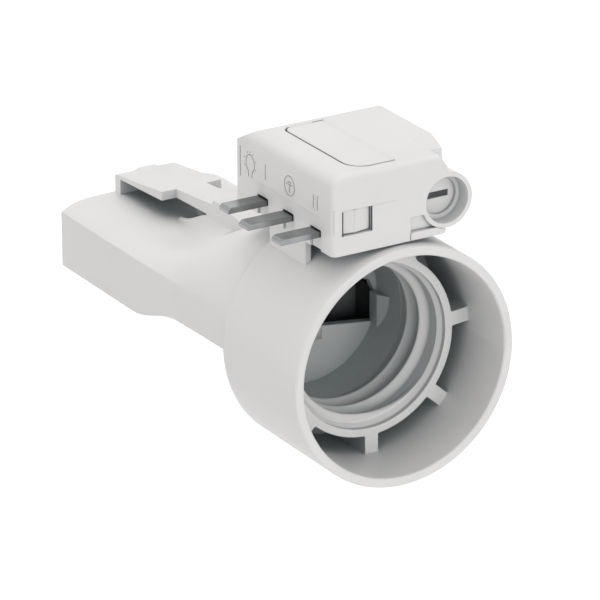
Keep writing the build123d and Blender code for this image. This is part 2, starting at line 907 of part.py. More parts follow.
# Clamps on the pins' inner ends
with BuildPart() as line_clamp:
    clamp(pin_places["line"], strip_gauge)
line_clamp.part.label = "line_clamp"
export_step(line_clamp.part, "parts/line_clamp.step")

with BuildPart() as earth_clamp:
    clamp(pin_places["earth"], 0)
earth_clamp.part.label = "earth_clamp"
export_step(earth_clamp.part, "parts/earth_clamp.step")

with BuildPart() as neutral_clamp:
    clamp(pin_places["neutral"], strip_gauge)
neutral_clamp.part.label = "neutral_clamp"
export_step(neutral_clamp.part, "parts/neutral_clamp.step")

# One screw in each clamp, pressing on its pin
with BuildPart() as clamp_screws:
    for pin_x in pin_places.values():
        slotted_screw(
            (pin_x, (clamp_outer + clamp_inner) / 2, clamp_top + clamp_screw_stand),
            clamp_screw_radius,
            clamp_top + clamp_screw_stand - pin_underside - pin_thickness,
            clamp_head_radius,
            clamp_head_height,
        )
clamp_screws.part.label = "clamp_screws"
export_step(clamp_screws.part, "parts/clamp_screws.step")


def strip(pin_x, strip_y):
    """A strip from its clamp, round the neck's bends and down to the carrier."""
    near_half = pin_width / 2
    bent_strip(strip_route(pin_x + near_half), strip_y, strip_width)
    block(
        (pin_x - near_half, pin_x + near_half),
        (clamp_outer, strip_y),
        (pin_underside - strip_gauge, pin_underside),
    )
    with Locations(Location((strip_x, strip_y, carrier_screw_z), (0, 90, 0))):
        Cylinder(carrier_screw_radius, 2 * strip_gauge, mode=Mode.SUBTRACT)


# Strips
with BuildPart() as line_strip:
    strip(pin_places["line"], line_strip_y)
line_strip.part.label = "line_strip"
export_step(line_strip.part, "parts/line_strip.step")

with BuildPart() as neutral_strip:
    strip(pin_places["neutral"], neutral_strip_y)
neutral_strip.part.label = "neutral_strip"
export_step(neutral_strip.part, "parts/neutral_strip.step")

# Carrier behind the cup's floor
with BuildPart() as contact_carrier:
    block((carrier_rear, cup_back), (carrier_left, carrier_right), (carrier_bottom, carrier_top))
    for strip_y in (line_strip_y, neutral_strip_y):
        with Locations(Location((cup_back, strip_y, carrier_screw_z), (0, 90, 0))):
            Cylinder(carrier_screw_radius, 3 * carrier_thickness, mode=Mode.SUBTRACT)
contact_carrier.part.label = "contact_carrier"
export_step(contact_carrier.part, "parts/contact_carrier.step")

# Centre contact: down the carrier, through the window and up to the lamp's tip
with BuildPart() as centre_contact:
    front_leg = centre_contact_face - strip_gauge / 2
    bent_strip(
        (
            (tail_x, contact_tail_top),
            (tail_x, centre_contact_shelf),
            (front_leg, centre_contact_shelf),
            (front_leg, centre_contact_foot),
        ),
        line_strip_y + (centre_contact_width - strip_width) / 2,
        centre_contact_width,
    )
    with Locations(Location((tail_x, line_strip_y, carrier_screw_z), (0, 90, 0))):
        Cylinder(carrier_screw_radius, 2 * strip_gauge, mode=Mode.SUBTRACT)
centre_contact.part.label = "centre_contact"
export_step(centre_contact.part, "parts/centre_contact.step")

# Side contact: up the carrier, through the cup's floor and along the top of the bore
with BuildPart() as side_contact:
    bent_strip(
        (
            (tail_x, strip_end_z),
            (tail_x, side_contact_height),
            (side_contact_tip - side_contact_bend, side_contact_height),
            (side_contact_tip - side_contact_lip, side_contact_bump),
            (side_contact_tip, side_contact_bump + side_contact_lift),
        ),
        neutral_strip_y,
        strip_width,
    )
    with Locations(Location((tail_x, neutral_strip_y, carrier_screw_z), (0, 90, 0))):
        Cylinder(carrier_screw_radius, 2 * strip_gauge, mode=Mode.SUBTRACT)
side_contact.part.label = "side_contact"
export_step(side_contact.part, "parts/side_contact.step")

# Screws through strip, contact and carrier into the cup's floor
with BuildPart() as carrier_screws:
    head_seat = strip_x - strip_gauge / 2
    for strip_y in (line_strip_y, neutral_strip_y):
        with Locations(Location((head_seat, strip_y, carrier_screw_z), (0, -90, 0))):
            Cylinder(
                carrier_head_radius,
                carrier_head_height,
                align=(Align.CENTER, Align.CENTER, Align.MIN),
            )
            Cylinder(
                carrier_screw_radius,
                cup_back + carrier_screw_bite - head_seat,
                align=(Align.CENTER, Align.CENTER, Align.MAX),
            )
        block(
            (head_seat - carrier_head_height, head_seat - carrier_head_height + screw_slot_depth),
            (strip_y - 2 * carrier_head_radius, strip_y + 2 * carrier_head_radius),
            (carrier_screw_z - screw_slot_width / 2, carrier_screw_z + screw_slot_width / 2),
            Mode.SUBTRACT,
        )
carrier_screws.part.label = "carrier_screws"
export_step(carrier_screws.part, "parts/carrier_screws.step")

# Lid that closes the arm from below: it follows the stepped edge, with a pan behind the cup
with BuildPart() as arm_lid:
    lid_rear = -arm_length + arm_wall + lid_play
    steps = [step / (rise_sections - 1) for step in range(rise_sections)]
    lid_stations = [lid_rear] + [mix(roof_rise_start, shroud_back, step) for step in steps]
    gap = arm_wall + lid_side_play
    with BuildSketch(along(arm_right)):
        with BuildLine():
            floor_curve()
            Line((shroud_back, arm_floor_front), (shroud_back, arm_floor_front + lid_thickness))
            floor_curve(lid_thickness)
            Line(
                (-arm_length - margin, arm_floor_rear + lid_thickness),
                (-arm_length - margin, arm_floor_rear),
            )
        make_face()
    extrude(amount=2 * arm_left, both=True)
    with BuildSketch(Plane.XY.offset(arm_floor_rear - margin)):
        Polygon(
            *[(x, gap - arm_reach(x, arm_left)) for x in lid_stations],
            *[(x, arm_reach(x, arm_right) - gap) for x in reversed(lid_stations)],
            align=None,
        )
    lid_height = arm_floor_front + lid_thickness - arm_floor_rear
    extrude(amount=lid_height + 2 * margin, mode=Mode.INTERSECT)
    pan_x = (pan_rear, cup_back - lid_play)
    block(pan_x, (pan_left, pan_right), (pan_floor, arm_floor_front))
    block(
        (pan_rear + pan_wall, cup_back),
        (pan_left + pan_wall, pan_right - pan_wall),
        (pan_floor + pan_wall, arm_floor_front + 2 * lid_thickness),
        Mode.SUBTRACT,
    )
    block(
        (cup_back - lid_play, shroud_back + margin),
        (-ring_radius - lid_play, ring_radius + lid_play),
        (arm_floor_front - margin, arm_floor_front + lid_thickness + margin),
        Mode.SUBTRACT,
    )
    for side in (-1, 1):
        block(
            (shroud_back - margin, shroud_back + lid_hook),
            (side * (ring_radius + lid_play), side * lid_front_half),
            (arm_floor_front, arm_floor_front + lid_thickness),
        )
    for x, y in lid_screw_places:
        with Locations((x, y, arm_floor_rear + lid_thickness / 2)):
            Cylinder(
                lid_cup_radius,
                lid_cup_height - lid_thickness / 2,
                align=(Align.CENTER, Align.CENTER, Align.MIN),
            )
        with Locations((x, y, lid_screw_seat)):
            Cylinder(
                lid_head_radius + lid_play,
                lid_cup_height,
                align=(Align.CENTER, Align.CENTER, Align.MAX),
                mode=Mode.SUBTRACT,
            )
            Cylinder(lid_screw_radius + lid_play, 2 * lid_cup_height, mode=Mode.SUBTRACT)
arm_lid.part.label = "arm_lid"
export_step(arm_lid.part, "parts/arm_lid.step")

# Screws that hold the lid
with BuildPart() as lid_screws:
    for x, y in lid_screw_places:
        with Locations((x, y, lid_screw_seat)):
            Cylinder(
                lid_head_radius,
                lid_head_height,
                align=(Align.CENTER, Align.CENTER, Align.MAX),
            )
            Cylinder(
                lid_screw_radius,
                lid_screw_length,
                align=(Align.CENTER, Align.CENTER, Align.MIN),
            )
        head_face = lid_screw_seat - lid_head_height
        block(
            (x - 2 * lid_head_radius, x + 2 * lid_head_radius),
            (y - screw_slot_width / 2, y + screw_slot_width / 2),
            (head_face, head_face + screw_slot_depth),
            Mode.SUBTRACT,
        )
lid_screws.part.label = "lid_screws"
export_step(lid_screws.part, "parts/lid_screws.step")
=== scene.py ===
"""Lamp holder with a flat-pin plug, a hollow arm and a hanging hook, dressed for a studio picture.

The frame's origin is the centre of the shroud's rim. The lamp's axis is X, the pins point along -Y
and +Z is up. Sizes of the pieces are in millimetres, and the frame itself is in metres.
"""

import json
import logging
import math
from dataclasses import dataclass
from enum import Enum
from typing import Callable, Sequence

import bmesh
import bpy
from mathutils import Matrix, Vector
from mathutils.bvhtree import BVHTree


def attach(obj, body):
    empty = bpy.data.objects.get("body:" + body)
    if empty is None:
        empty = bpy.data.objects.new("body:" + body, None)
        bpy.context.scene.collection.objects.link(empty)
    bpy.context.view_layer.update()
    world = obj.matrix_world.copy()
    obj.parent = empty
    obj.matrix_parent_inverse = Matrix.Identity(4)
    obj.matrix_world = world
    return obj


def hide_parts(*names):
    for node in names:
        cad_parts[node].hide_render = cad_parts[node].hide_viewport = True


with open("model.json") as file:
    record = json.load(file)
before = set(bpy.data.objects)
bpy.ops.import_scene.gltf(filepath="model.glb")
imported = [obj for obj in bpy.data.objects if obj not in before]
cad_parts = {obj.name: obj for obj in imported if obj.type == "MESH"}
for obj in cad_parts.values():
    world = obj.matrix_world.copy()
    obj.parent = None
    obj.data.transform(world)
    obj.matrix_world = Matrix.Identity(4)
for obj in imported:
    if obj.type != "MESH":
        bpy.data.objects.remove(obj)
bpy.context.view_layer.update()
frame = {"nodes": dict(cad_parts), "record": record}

MM = 0.001
Point = tuple[float, float, float]
Colour = tuple[float, float, float]

log = logging.getLogger("lamp_holder")


class Body(Enum):
    """The bodies that pieces ride on."""

    HOLDER = "holder"
    TONGUE = "tongue"
    SPINDLE = "spindle"


class Slot(Enum):
    """The finishes that the pieces take, by the names of the record's material slots."""

    WHITE = "white_plastic"
    GREY = "grey_plastic"
    PLATED = "plated_brass"
    BRASS = "brass"
    ZINC = "zinc_steel"
    SPRING = "spring_metal"


# Node building


class Tree:
    """A shader's node tree, with short calls to add and join nodes."""

    noise_range: tuple[float, float] = (0.3, 0.7)

    def __init__(self, material: bpy.types.Material) -> None:
        """Starts from an empty tree.

        Args:
            material: The material whose nodes are built.
        """
        material.use_nodes = True
        self.nodes = material.node_tree.nodes
        self.links = material.node_tree.links
        self.nodes.clear()
        self.output = self.nodes.new("ShaderNodeOutputMaterial")

    def add(self, kind: str, **inputs: object) -> bpy.types.Node:
        """Adds a node and sets or links its inputs.

        Args:
            kind: The node's type, without the words that all shader nodes share.
            **inputs: Socket names, with _ for a space, and the value or output socket for each.

        Returns:
            The new node.
        """
        node = self.nodes.new("ShaderNode" + kind)
        for name, value in inputs.items():
            socket = node.inputs[name.replace("_", " ")]
            if isinstance(value, bpy.types.NodeSocket):
                self.links.new(value, socket)
            else:
                socket.default_value = value
        return node

    def finish(self, shader: bpy.types.NodeSocket) -> None:
        """Joins the shader to the material's surface."""
        self.links.new(shader, self.output.inputs["Surface"])

    def noise(self, scale: float, detail: float, stretch: Point = (1, 1, 1)) -> bpy.types.NodeSocket:
        """Adds a noise that is fixed to the object.

        Args:
            scale: Waves to the metre.
            detail: How many finer layers it has.
            stretch: Scale along each axis.

        Returns:
            The noise's value socket.
        """
        place = self.add("TexCoord")
        mapping = self.add("Mapping", Vector=place.outputs["Object"], Scale=stretch)
        return self.add("TexNoise", Vector=mapping.outputs[0], Scale=scale, Detail=detail).outputs["Fac"]

    def blend(self, share: bpy.types.NodeSocket, low: Colour, high: Colour) -> bpy.types.NodeSocket:
        """Mixes two colours by a noise's value.

        Args:
            share: The value that chooses between them.
            low: The colour at the low end.
            high: The colour at the high end.

        Returns:
            The colour socket.
        """
        ramp = self.add("ValToRGB", Fac=share)
        for end, position, colour in zip(ramp.color_ramp.elements, self.noise_range, (low, high)):
            end.position = position
            end.color = (*colour, 1)
        return ramp.outputs["Color"]

    def span(self, value: bpy.types.NodeSocket, low: float, high: float) -> bpy.types.NodeSocket:
        """Maps a noise's value to a range.

        Args:
            value: The value to map.
            low: The result at the noise's low end.
            high: The result at its high end.

        Returns:
            The mapped value's socket.
        """
        node = self.add("MapRange", Value=value)
        least, most = self.noise_range
        ends = {"From Min": least, "From Max": most, "To Min": low, "To Max": high}
        for name, end in ends.items():
            node.inputs[name].default_value = end
        return node.outputs["Result"]


@dataclass(frozen=True)
class HollowShade:
    """Painted shade: how much a finish's colour is darkened where its surroundings close in on it,
    everywhere or only inside the arm.
    """

    tone: Colour
    reach: float
    clear: float
    samples: int = 8
    in_arm: bool = False
    cup_back: float = -31.2
    roof_inside: float = 6.9
    ease: float = 0.3

    def darken(self, tree: Tree, colour: bpy.types.NodeSocket) -> bpy.types.NodeSocket:
        """Mixes the dark tone into a colour where little open space is near, as painted shade.

        Args:
            tree: The finish's nodes.
            colour: The colour in the open.

        Returns:
            The mixed colour's socket.
        """
        space = tree.add("AmbientOcclusion", Distance=self.reach * MM)
        space.samples = self.samples
        share = tree.add("MapRange", Value=space.outputs["AO"])
        share.interpolation_type = "SMOOTHSTEP"
        share.inputs["From Max"].default_value = self.clear
        result = share.outputs["Result"]
        if self.in_arm:
            result = self.spare_outside(tree, result)
        return tree.add("MixRGB", Fac=result, Color1=(*self.tone, 1), Color2=colour).outputs[0]

    def spare_outside(self, tree: Tree, share: bpy.types.NodeSocket) -> bpy.types.NodeSocket:
        """Keeps the full colour, free of painted shade, in front of the cup's back and above the arm's
        inside.

        Args:
            tree: The finish's nodes.
            share: How open each place is.

        Returns:
            The share, raised to 1 outside the arm's room.
        """
        place = tree.add("SeparateXYZ", Vector=tree.add("TexCoord").outputs["Object"])
        for axis, start in (("X", self.cup_back), ("Z", self.roof_inside)):
            beyond = tree.add("MapRange", Value=place.outputs[axis])
            beyond.inputs["From Min"].default_value = start * MM
            beyond.inputs["From Max"].default_value = (start + self.ease) * MM
            larger = tree.add("Math", Value=share)
            larger.operation = "MAXIMUM"
            tree.links.new(beyond.outputs["Result"], larger.inputs[1])
            share = larger.outputs[0]
        return share


@dataclass(frozen=True)
class MouldedPlastic:
    """Moulded plastic: two close tones with painted shade in hollows, a fine grain and softened edges."""

    name: str
    colour: Colour
    shade: Colour
    roughness: float = 0.42
    roughness_swing: tuple[float, float] = (0.05, 0.06)
    mottle_scale: float = 45
    gloss_scale: float = 160
    grain_scale: float = 2600
    grain_depth: float = 0.012
    grain_strength: float = 0.35
    edge_round: float = 0.22
    edge_samples: int = 6
    refraction: float = 1.5
    shine: float = 0.42
    glow: float = 0.04
    glow_reach: float = 0.8
    # Both below are painted shade, not the plastic's colour: a grey-blue shade in hollows, and a near-black
    # shade deep inside the arm and the cup.
    hollow: HollowShade = HollowShade((0.36, 0.40, 0.41), 34.0, 0.60)
    depth: HollowShade = HollowShade((0.010, 0.015, 0.018), 60.0, 0.40, in_arm=True)

    def build(self) -> bpy.types.Material:
        """Builds the material.

        Returns:
            The finished material.
        """
        material = bpy.data.materials.new(self.name)
        tree = Tree(material)
        tone = tree.blend(tree.noise(self.mottle_scale, detail=3), self.shade, self.colour)
        # Painted shade mixed into the colour: first in hollows, then deep inside the arm and the cup.
        tone = self.depth.darken(tree, self.hollow.darken(tree, tone))
        edge = tree.add("Bevel", Radius=self.edge_round * MM)
        edge.samples = self.edge_samples
        bump = tree.add(
            "Bump",
            Height=tree.noise(self.grain_scale, detail=2),
            Strength=self.grain_strength,
            Distance=self.grain_depth * MM,
            Normal=edge.outputs["Normal"],
        )
        surface = tree.add(
            "BsdfPrincipled",
            Base_Color=tone,
            Roughness=tree.span(
                tree.noise(self.gloss_scale, detail=4),
                self.roughness - self.roughness_swing[0],
                self.roughness + self.roughness_swing[1],
            ),
            IOR=self.refraction,
            Specular_IOR_Level=self.shine,
            Subsurface_Weight=self.glow,
            Subsurface_Radius=(1.0, 0.95, 0.9),
            Subsurface_Scale=self.glow_reach * MM,
            Normal=bump.outputs["Normal"],
        )
        tree.finish(surface.outputs["BSDF"])
        return material


@dataclass(frozen=True)
class RolledMetal:
    """Rolled or drawn metal: fine lines along it, a cloudy tone that is faint on most metals and is painted
    reflection on the plated pins, and softened edges.
    """

    name: str
    colour: Colour
    shade: Colour
    roughness: float = 0.26
    roughness_swing: tuple[float, float] = (0.06, 0.08)
    lines_scale: float = 700
    lines_along: Point = (1, 14, 14)
    line_depth: float = 0.0012
    line_strength: float = 0.5
    edge_round: float = 0.12
    edge_samples: int = 4
    mottle_and_reflection_scale: float = 260
    mottle_and_reflection_stretch: Point = (1, 1, 1)

    def build(self) -> bpy.types.Material:
        """Builds the material.

        Returns:
            The finished material.
        """
        material = bpy.data.materials.new(self.name)
        tree = Tree(material)
        # On the plated pins these light and dark bands are painted reflection.
        mottle_and_reflections = tree.noise(self.mottle_and_reflection_scale, detail=1, stretch=self.mottle_and_reflection_stretch)
        tone = tree.blend(mottle_and_reflections, self.shade, self.colour)
        lines = tree.noise(self.lines_scale, detail=3, stretch=self.lines_along)
        edge = tree.add("Bevel", Radius=self.edge_round * MM)
        edge.samples = self.edge_samples
        bump = tree.add(
            "Bump",
            Height=lines,
            Strength=self.line_strength,
            Distance=self.line_depth * MM,
            Normal=edge.outputs["Normal"],
        )
        surface = tree.add(
            "BsdfPrincipled",
            Base_Color=tone,
            Metallic=1.0,
            Roughness=tree.span(
                lines,
                self.roughness - self.roughness_swing[0],
                self.roughness + self.roughness_swing[1],
            ),
            Normal=bump.outputs["Normal"],
        )
        tree.finish(surface.outputs["BSDF"])
        return material


FINISHES = {
    Slot.WHITE: MouldedPlastic("white_plastic_finish", (0.850, 0.838, 0.830), (0.825, 0.815, 0.808)),
    Slot.GREY: MouldedPlastic(
        "grey_plastic_finish",
        (0.41, 0.42, 0.42),
        (0.37, 0.38, 0.38),
        # Painted shade, near black, in the grey plastic's narrow creases.
        hollow=HollowShade((0.012, 0.016, 0.018), 2.2, 0.62),
    ),
    # Painted reflection: broad light and dark bands along the pins, in a dark plated tone.
    Slot.PLATED: RolledMetal(
        "plated_brass_finish",
        (0.50, 0.51, 0.51),
        (0.14, 0.15, 0.155),
        roughness=0.2,
        lines_along=(14, 1, 14),
        line_depth=0.0001,
        mottle_and_reflection_scale=150,
        mottle_and_reflection_stretch=(0.2, 1, 0.2),
    ),
    Slot.BRASS: RolledMetal("brass_finish", (0.80, 0.64, 0.36), (0.66, 0.50, 0.26)),
    Slot.ZINC: RolledMetal("zinc_steel_finish", (0.68, 0.69, 0.70), (0.52, 0.53, 0.54), 0.34),
    Slot.SPRING: RolledMetal("spring_metal_finish", (0.86, 0.85, 0.80), (0.72, 0.71, 0.66), 0.22),
}

# Painted shade: the moulded marks are drawn as grey lines that stand for the shade of their relief.
MARK_PAINTED_SHADE = MouldedPlastic("mark_painted_shade", (0.36, 0.355, 0.35), (0.30, 0.298, 0.295), glow=0.0)
# Painted shade: a near-black tone put where deep gaps and slots fall into shade.
GAP_PAINTED_SHADE = MouldedPlastic("gap_painted_shade", (0.05, 0.056, 0.058), (0.04, 0.045, 0.048), glow=0.0)


class Paintbox:
    """Builds each finish once and hands it out."""

    def __init__(self) -> None:
        """Builds the finishes, and the dark tones painted as the shade of shallow lines and deep gaps."""
        self.materials = {slot: finish.build() for slot, finish in FINISHES.items()}
        self.line = MARK_PAINTED_SHADE.build()
        self.gap = GAP_PAINTED_SHADE.build()

    def of(self, slot: Slot) -> bpy.types.Material:
        """The finish of a slot."""
        return self.materials[slot]


# Mesh building


def smooth_over(mesh: bpy.types.Mesh, degrees: float = 32.0) -> None:
    """Shades a mesh smooth except over edges sharper than the angle."""
    mesh.shade_smooth()
    mesh.set_sharp_from_angle(angle=math.radians(degrees))


def new_piece(name: str, bm: bmesh.types.BMesh, material: bpy.types.Material) -> bpy.types.Object:
    """Makes an object from a mesh in millimetres.

    Args:
        name: The piece's name.
        bm: The mesh, which is freed.
        material: Its finish.

    Returns:
        The object, in metres.
    """
    bmesh.ops.recalc_face_normals(bm, faces=bm.faces)
    bmesh.ops.scale(bm, vec=(MM, MM, MM), verts=bm.verts)
    mesh = bpy.data.meshes.new(name)
    bm.to_mesh(mesh)
    bm.free()
    mesh.materials.append(material)
    smooth_over(mesh)
    piece = bpy.data.objects.new(name, mesh)
    bpy.context.scene.collection.objects.link(piece)
    return piece


def put_on(piece: bpy.types.Object, body: Body) -> bpy.types.Object:
    """Lets a piece ride on its body.

    Args:
        piece: The piece.
        body: The body that it moves with.

    Returns:
        The same piece.
    """
    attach(piece, body.value)
    return piece


def smooth_step(share: float) -> float:
    """Eases a share in and out between 0 and 1."""
    share = min(max(share, 0.0), 1.0)
    return share * share * (3 - 2 * share)


def polar_grid(
    bm: bmesh.types.BMesh,
    turns: int,
    rings: Callable[[float], Sequence[tuple[float, float]]],
) -> None:
    """Adds a closed band round the lamp's axis whose section may change with the angle.

    Args:
        bm: The mesh to add to.
        turns: How many sections the band has.
        rings: Gives the closed section at an angle in radians, as pairs of x and radius.
    """
    columns = []
    for step in range(turns):
        angle = 2 * math.pi * step / turns
        section = rings(angle)
        columns.append([bm.verts.new((x, r * math.cos(angle), r * math.sin(angle))) for x, r in section])
    count = len(columns[0])
    for step in range(turns):
        here, there = columns[step], columns[(step + 1) % turns]
        for row in range(count):
            after = (row + 1) % count
            bm.faces.new((here[row], there[row], there[after], here[after]))


def soft_bar(bm: bmesh.types.BMesh, low: Vector, high: Vector, soft: float) -> None:
    """Adds a bar with rounded edges.

    Args:
        bm: The mesh to add to.
        low: Its low corner.
        high: Its high corner.
        soft: How far its edges are rounded.
    """
    place = Matrix.Translation((low + high) / 2) @ Matrix.Diagonal((*(high - low), 1))
    bmesh.ops.create_cube(bm, size=1, matrix=place)
    bmesh.ops.bevel(bm, geom=bm.edges[:], offset=soft, segments=3, profile=0.5, affect="EDGES")


def stroke(
    name: str,
    points: Sequence[Point],
    width: float,
    material: bpy.types.Material,
    closed: bool = False,
) -> bpy.types.Object:
    """Makes a thin line that lies half in a surface.

    Args:
        name: The piece's name.
        points: Where the line runs, in millimetres.
        width: Its width.
        material: Its finish.
        closed: Whether it ends where it starts.

    Returns:
        The mesh object.
    """
    curve = bpy.data.curves.new(name, "CURVE")
    curve.dimensions = "3D"
    curve.bevel_depth = width / 2 * MM
    curve.bevel_resolution = 2
    curve.use_fill_caps = True
    line = curve.splines.new("POLY")
    line.points.add(len(points) - 1)
    for at, point in zip(line.points, points):
        at.co = (*(c * MM for c in point), 1)
    line.use_cyclic_u = closed
    drawn = bpy.data.objects.new(name + "_curve", curve)
    bpy.context.scene.collection.objects.link(drawn)
    depsgraph = bpy.context.evaluated_depsgraph_get()
    mesh = bpy.data.meshes.new_from_object(drawn.evaluated_get(depsgraph))
    bpy.data.objects.remove(drawn)
    mesh.name = name
    mesh.materials.clear()
    mesh.materials.append(material)
    smooth_over(mesh)
    piece = bpy.data.objects.new(name, mesh)
    bpy.context.scene.collection.objects.link(piece)
    return piece


# Pieces


@dataclass
class FramePieces:
    """The pieces that keep their solids, and only take a finish and smooth curves."""

    weld: float = 0.0005
    crease: float = 28.0

    def build(self, paint: Paintbox) -> None:
        """Dresses each node by its slot.

        Args:
            paint: The finishes.
        """
        slots = {row["node"]: Slot(row["material_slot"]) for row in frame["record"]["subparts"]}
        for name, node in frame["nodes"].items():
            for index in range(len(node.material_slots)):
                node.material_slots[index].material = paint.of(slots[name])
            self.smooth(node)
        log.info("frame pieces: %d", len(frame["nodes"]))

    def smooth(self, node: bpy.types.Object) -> None:
        """Joins the node's facets into smooth curves that stay sharp at real edges.

        Args:
            node: The node, whose own vertices stay as they are.
        """
        mesh = node.data
        if "custom_normal" in mesh.attributes:
            mesh.attributes.remove(mesh.attributes["custom_normal"])
        mesh.shade_smooth()
        weld = node.modifiers.new("weld", "WELD")
        weld.merge_threshold = self.weld * MM
        split = node.modifiers.new("creases", "EDGE_SPLIT")
        split.split_angle = math.radians(self.crease)
        split.use_edge_sharp = False


@dataclass
class PlugShell:
    """The plug's cover, with the slope that its roof has along the rear edge."""

    node: str = "plug_cover"
    rear: float = -30.5
    top: float = 33.4
    length: float = 4.5
    drop: float = 2.5
    near: float = 1e-6

    def build(self, paint: Paintbox, dresser: FramePieces) -> None:
        """Cuts the slope on a copy of the cover, which takes the cover's place.

        Args:
            paint: The finishes.
            dresser: What smooths the cover's curves.
        """
        source = frame["nodes"][self.node]
        bm = bmesh.new()
        bm.from_mesh(source.data)
        bm.transform(source.matrix_world)
        bmesh.ops.remove_doubles(bm, verts=bm.verts, dist=dresser.weld * MM)
        foot = Vector((self.rear, 0, self.top - self.drop)) * MM
        upwards = Vector((-self.drop, 0, self.length)).normalized()
        everything = bm.verts[:] + bm.edges[:] + bm.faces[:]
        bmesh.ops.bisect_plane(
            bm,
            geom=everything,
            dist=self.near / 10,
            plane_co=foot,
            plane_no=upwards,
            clear_outer=True,
        )
        self.close(bm, foot, upwards)
        mesh = bpy.data.meshes.new("plug_shell")
        bm.to_mesh(mesh)
        bm.free()
        mesh.materials.append(paint.of(Slot.WHITE))
        piece = bpy.data.objects.new("plug_shell", mesh)
        bpy.context.scene.collection.objects.link(piece)
        dresser.smooth(piece)
        put_on(piece, Body.HOLDER)
        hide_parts(self.node)
        log.info("plug shell")

    def close(self, bm: bmesh.types.BMesh, foot: Vector, upwards: Vector) -> None:
        """Closes the cut with one flat face inside its outer edge.

        Args:
            bm: The cut mesh.
            foot: A point of the cut's plane.
            upwards: The plane's normal.
        """
        rim = [
            edge
            for edge in bm.edges
            if edge.is_boundary and all(abs((v.co - foot).dot(upwards)) < self.near for v in edge.verts)
        ]
        loops = []
        while rim:
            loop = [rim.pop()]
            grown = True
            while grown:
                ends = {v for edge in loop for v in edge.verts}
                joined = [edge for edge in rim if ends & set(edge.verts)]
                rim = [edge for edge in rim if edge not in joined]
                loop += joined
                grown = bool(joined)
            loops.append(loop)
        widest = max(loops, key=lambda loop: max(v.co.y for edge in loop for v in edge.verts))
        for face in bmesh.ops.edgeloop_fill(bm, edges=widest)["faces"]:
            face.normal_update()
            if face.normal.dot(upwards) < 0:
                face.normal_flip()


@dataclass
class SocketThread:
    """The rounded screw thread in the socket, right-handed, that fades in behind the mouth."""

    root: float = 13.42
    height: float = 1.25
    pitch: float = 3.63
    front: float = -12.08
    back: float = -22.25
    first_ridge: float = -11.9
    tip: float = -12.2
    tip_length: float = 0.75
    fade: float = 0.8
    sharpness: float = 2.4
    sunk: float = 0.25
    turns: int = 180
    rows: int = 64

    def build(self, paint: Paintbox) -> None:
        """Builds the thread as a sleeve that lies against the socket's wall.

        Args:
            paint: The finishes.
        """
        bm = bmesh.new()
        polar_grid(bm, self.turns, self.section)
        piece = new_piece("socket_thread", bm, paint.of(Slot.WHITE))
        put_on(piece, Body.HOLDER)
        log.info("socket thread")

    def section(self, angle: float) -> list[tuple[float, float]]:
        """The sleeve's section at an angle.

        Args:
            angle: Angle round the lamp's axis from +Y, in radians.

        Returns:
            Pairs of x and radius, round the section.
        """
        inner = []
        for row in range(self.rows + 1):
            x = self.front + (self.back - self.front) * row / self.rows
            inner.append((x, self.root - self.height * self.ridge(x, angle)))
        outer = self.root + self.sunk
        return inner + [(self.back, outer), (self.front, outer)]

    def ridge(self, x: float, angle: float) -> float:
        """How far the ridge stands at a place, from 0 to 1.

        Args:
            x: Place along the lamp's axis.
            angle: Angle round it, in radians.

        Returns:
            The share of the ridge's height.
        """
        turn = angle / (2 * math.pi)
        nearest = round((x - self.first_ridge) / self.pitch - turn) + turn
        crest = self.first_ridge + self.pitch * nearest
        wave = 0.5 + 0.5 * math.cos(2 * math.pi * (x - crest) / self.pitch)
        start = smooth_step((self.tip - crest) / self.tip_length)
        end = smooth_step((x - self.back) / self.fade)
        return wave**self.sharpness * start * end


